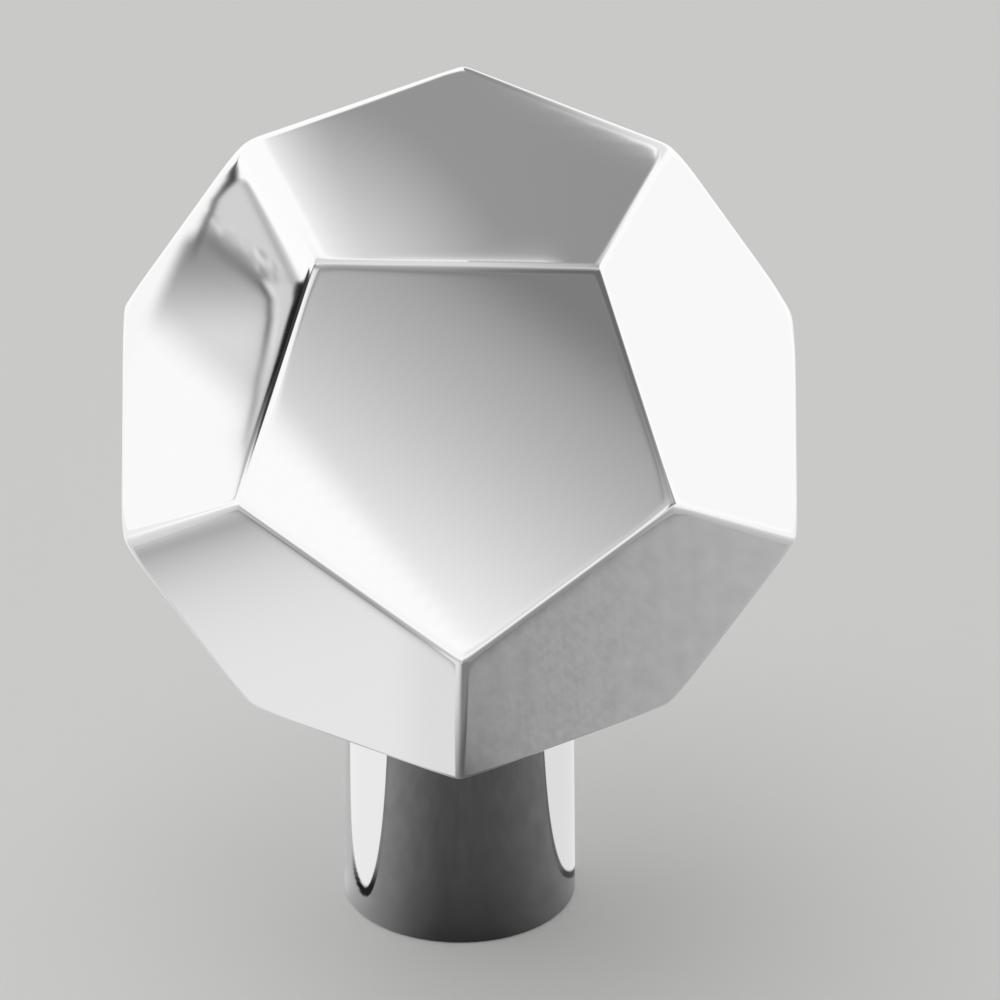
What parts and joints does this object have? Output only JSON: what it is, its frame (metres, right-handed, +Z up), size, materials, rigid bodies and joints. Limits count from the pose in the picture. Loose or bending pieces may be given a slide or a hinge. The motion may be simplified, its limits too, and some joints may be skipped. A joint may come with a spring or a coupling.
{
  "type": "faceted cabinet knob",
  "caption": "Polished metal cabinet knob with a solid twelve-facet head on a short round stem, tapped in its foot for a fixing screw.",
  "frame": {"origin": "middle of the stem's flat foot, on the fixing hole's axis", "axes": "+Z up the stem, from the foot to the head; -Y is the side that the picture shows"},
  "size_m": [0.0305, 0.0317, 0.0373],
  "materials": {
    "head_chrome": "solid brass, ground, polished and bright chrome plated",
    "stem_chrome": "turned brass, polished and bright chrome plated",
    "stud_steel": "plain zinc-plated steel thread"
  },
  "bodies": {
    "root": {"head": "head_chrome", "stem": "stem_chrome", "joining_stud": "stud_steel"}
  },
  "joints": []
}
